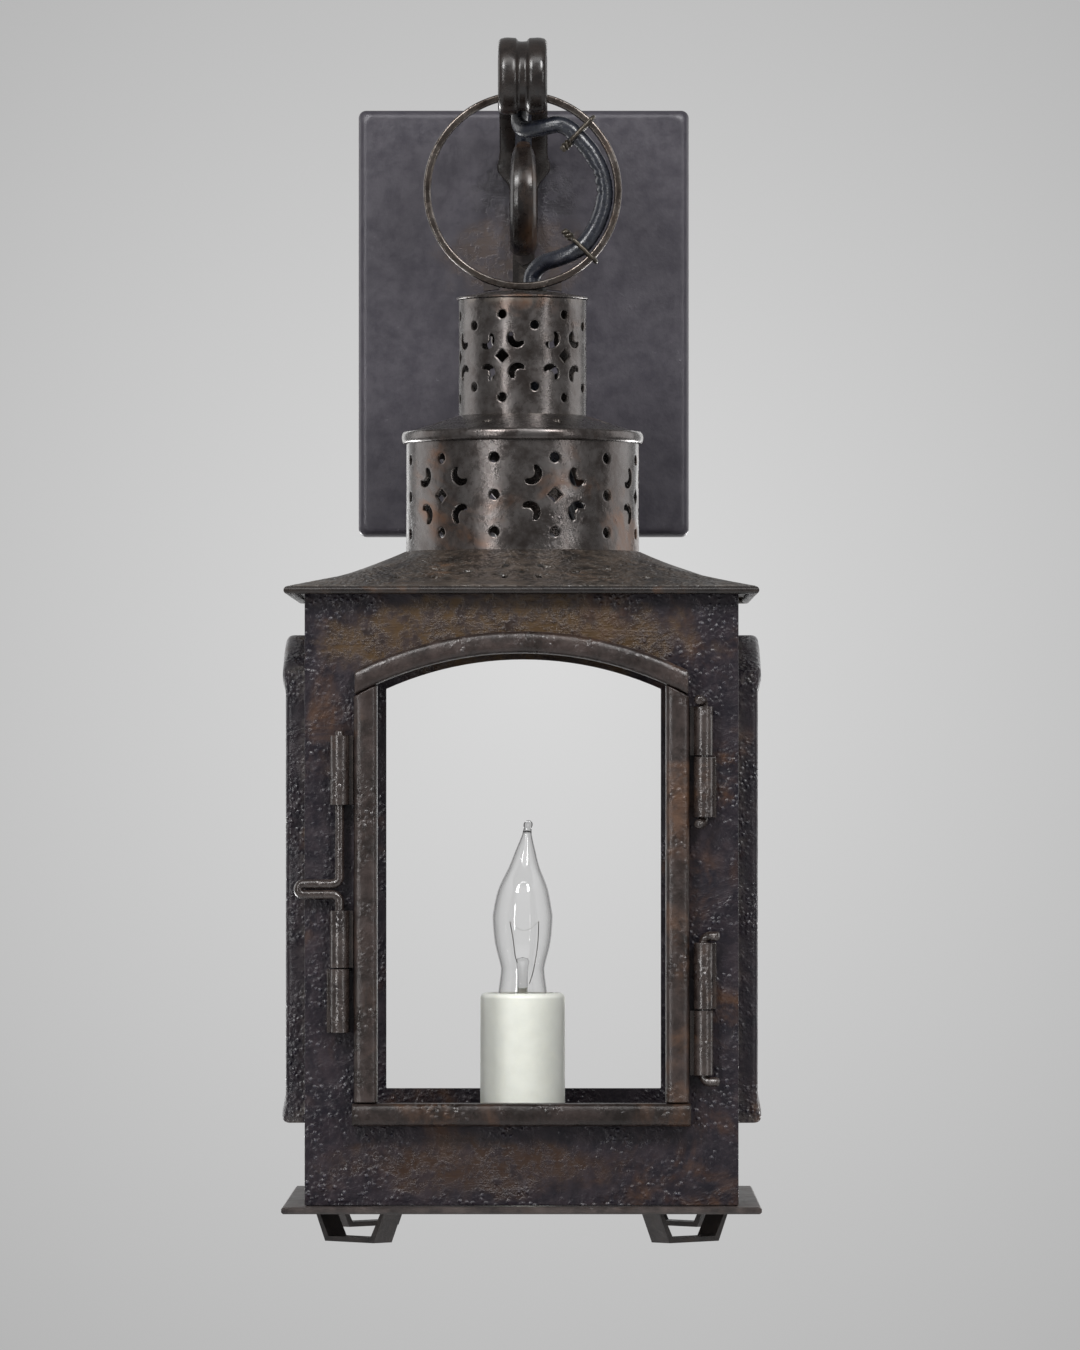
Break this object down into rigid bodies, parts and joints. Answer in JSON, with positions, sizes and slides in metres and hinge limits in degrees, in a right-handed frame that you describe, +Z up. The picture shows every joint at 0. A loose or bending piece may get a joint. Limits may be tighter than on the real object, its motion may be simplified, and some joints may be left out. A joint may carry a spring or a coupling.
{
  "type": "wall lantern",
  "caption": "Pierced sheet-iron lantern with an arched hinged door, hung by its ring from a scroll bracket on a wall plate, lit by a candle-style lamp.",
  "frame": {"origin": "middle of the mounting bar's back, on the wall plane", "axes": "+Z up, +Y into the wall, so the lantern's door faces -Y"},
  "size_m": [0.211, 0.2273, 0.5364],
  "materials": {
    "iron": "aged dark bronze, pitted",
    "plate_iron": "dark grey, pitted",
    "steel": "dull",
    "cord": "soft sheen",
    "rubber": "matte",
    "resin": "wax-like",
    "porcelain": "satin",
    "brass": "satin",
    "glass": "clear",
    "tungsten": "dull"
  },
  "bodies": {
    "bracket": {"wall_plate": "plate_iron", "mounting_bar": "steel", "plate_screw_left": "steel", "plate_screw_right": "steel", "bracket_arm": "iron", "back_strap": "iron", "strap_rivet_upper": "iron", "strap_rivet_lower": "iron", "arm_rivet": "iron", "plate_bushing": "rubber", "cord_in_arm": "cord"},
    "lantern": {"cord_tie_upper": "steel", "cord_tie_lower": "steel", "cord_clip_upper": "steel", "cord_clip_lower": "steel", "holder_stem": "steel", "hanging_ring": "iron", "ring_lug_left": "iron", "ring_lug_right": "iron", "chimney_cap": "iron", "chimney": "iron", "drum_lid": "iron", "drum_rim": "iron", "drum": "iron", "roof": "iron", "front_panel": "iron", "rear_panel": "iron", "left_panel": "iron", "right_panel": "iron", "base_plate": "iron", "foot_front_left": "iron", "foot_front_right": "iron", "foot_rear_left": "iron", "foot_rear_right": "iron", "left_frame": "iron", "right_frame": "iron", "upper_body_knuckle": "iron", "lower_body_knuckle": "iron", "lower_hinge_pin": "iron", "bolt_keeper": "iron", "cord_loop": "cord", "cord_in_lantern": "cord", "cap_bushing": "rubber", "candle_sleeve": "resin", "lamp_holder": "porcelain"},
    "door": {"door_arch": "iron", "door_stile_left": "iron", "door_stile_right": "iron", "door_sill": "iron", "upper_door_knuckle": "iron", "lower_door_knuckle": "iron", "upper_hinge_pin": "iron", "upper_bolt_guide": "iron", "lower_bolt_guide": "iron"},
    "bolt": {"bolt_rod": "iron"},
    "bulb": {"bulb_base": "brass", "bulb_glass": "glass", "bulb_stem": "glass", "filament": "tungsten"}
  },
  "joints": [
    {"name": "lantern_swing", "type": "hinge", "parent": "bracket", "child": "lantern", "pos_m": [0, -0.12, 0.0953], "axis": [-1, 0, 0], "range_deg": [-1.5, 15], "deforming": ["cord_loop"]},
    {"name": "door_swing", "type": "hinge", "parent": "lantern", "child": "door", "pos_m": [0.0796, -0.21955, -0.25], "axis": [0, 0, 1], "range_deg": [0, 105]},
    {"name": "bolt_slide", "type": "slide", "parent": "door", "child": "bolt", "axis": [0, 0, 1], "range_m": [-0.0032, 0.022]},
    {"name": "bulb_turn", "type": "hinge", "parent": "lantern", "child": "bulb", "pos_m": [0, -0.12, -0.31], "axis": [0, 0, 1], "continuous": true}
  ]
}
